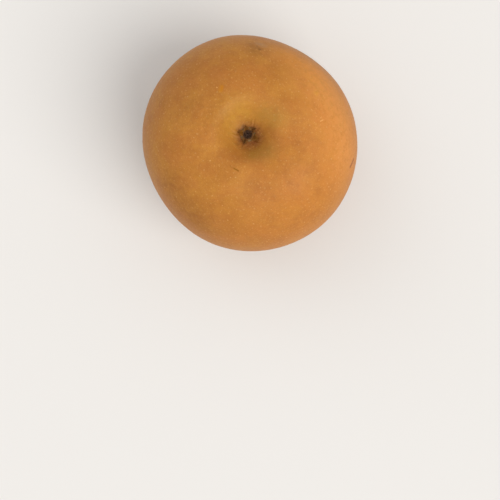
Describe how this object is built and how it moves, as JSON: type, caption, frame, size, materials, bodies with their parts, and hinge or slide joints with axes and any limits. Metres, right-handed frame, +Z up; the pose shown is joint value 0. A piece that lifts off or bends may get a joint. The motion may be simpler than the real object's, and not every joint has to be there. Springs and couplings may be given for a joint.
{
  "type": "nashi pear",
  "caption": "Whole russet nashi pear, round and slightly flattened, lying stem end down, with a dried star-shaped calyx in its basin and a short clipped stem in its cavity.",
  "frame": {"origin": "under the middle of the fruit, on the surface that it lies on", "axes": "+Z up, from the stem end towards the calyx end; +X to the right and +Y to the top of the view that looks down on the calyx"},
  "size_m": [0.106, 0.1056, 0.0905],
  "materials": {
    "skin": "satin",
    "calyx": "matte",
    "bark": "matte"
  },
  "bodies": {
    "root": {"fruit": "skin", "calyx": "calyx", "stem": "bark"}
  },
  "joints": []
}
